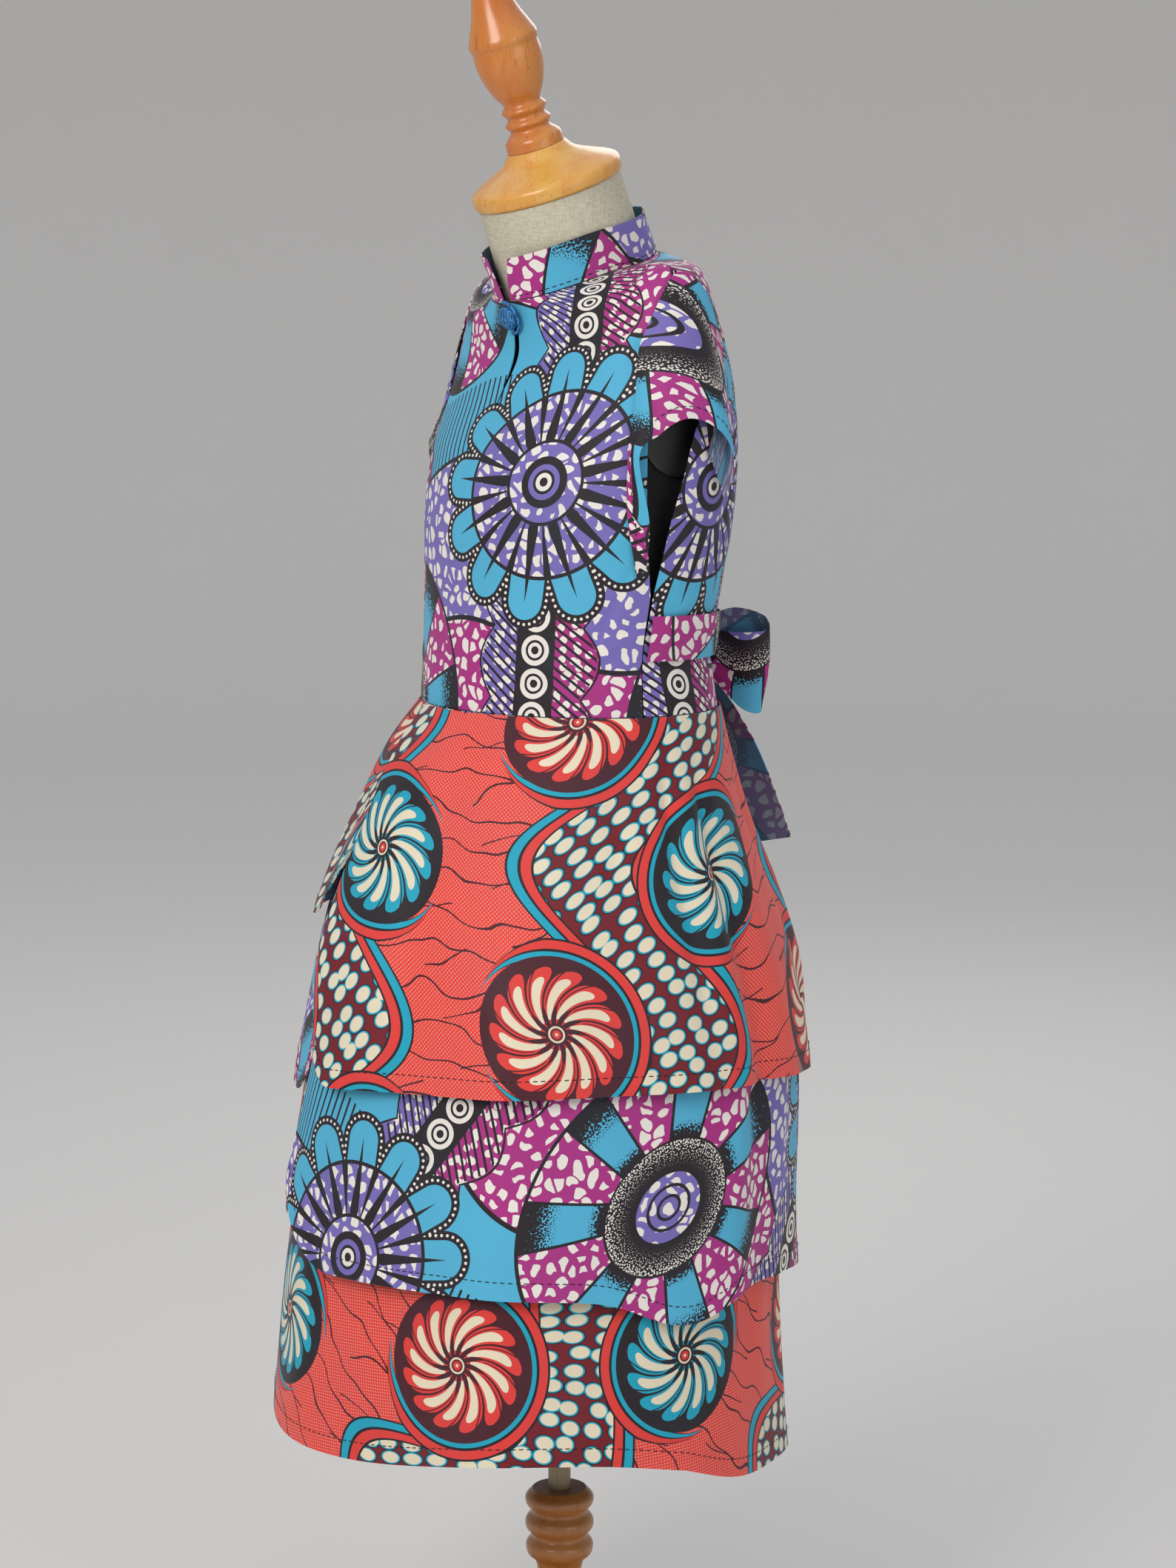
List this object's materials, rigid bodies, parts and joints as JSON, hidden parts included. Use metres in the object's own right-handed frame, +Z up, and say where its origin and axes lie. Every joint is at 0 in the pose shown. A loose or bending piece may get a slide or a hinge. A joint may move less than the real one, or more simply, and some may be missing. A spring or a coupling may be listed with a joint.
{
  "type": "ankara wax print dress on a child's limbless dress form",
  "caption": "Child's wax print dress with cap sleeves, stand collar, back bow and staggered flap tiers over a long skirt, worn by a limbless dress form on a round foot.",
  "frame": {"origin": "middle of the foot's underside, on the floor", "axes": "+Z up along the pole, the dress faces -Y, +X is the wearer's left"},
  "size_m": [0.2934, 0.3006, 0.9871],
  "materials": {
    "print_blue": "printed cotton, slight wax sheen",
    "print_coral": "printed cotton, slight wax sheen",
    "button_blue": "printed cotton",
    "linen": "plain linen, matte",
    "form_cloth": "matte jersey",
    "wood_honey": "turned and varnished",
    "wood_amber": "turned and varnished",
    "wood_brown": "turned and varnished",
    "pole_tan": "satin",
    "plate_grey": "matte"
  },
  "bodies": {
    "root": {"bodice_front": "print_blue", "bodice_back": "print_blue", "collar": "print_blue", "sleeve_left": "print_blue", "sleeve_right": "print_blue", "tie_left": "print_blue", "tie_right": "print_blue", "bow_knot": "print_blue", "bow_loop_left": "print_blue", "bow_loop_right": "print_blue", "bow_tail_left": "print_blue", "bow_tail_right": "print_blue", "button": "button_blue", "button_loop": "button_blue", "skirt_base": "print_coral", "tier1_left": "print_coral", "tier2_left": "print_blue", "tier1_right": "print_coral", "tier2_right": "print_blue", "tier3_right": "print_coral", "form_torso": "form_cloth", "form_neck": "linen", "form_cap": "wood_honey", "form_finial": "wood_amber", "form_armplate_left": "plate_grey", "form_armplate_right": "plate_grey", "form_pole": "pole_tan", "form_collar": "wood_brown", "form_base": "wood_brown"}
  },
  "joints": []
}
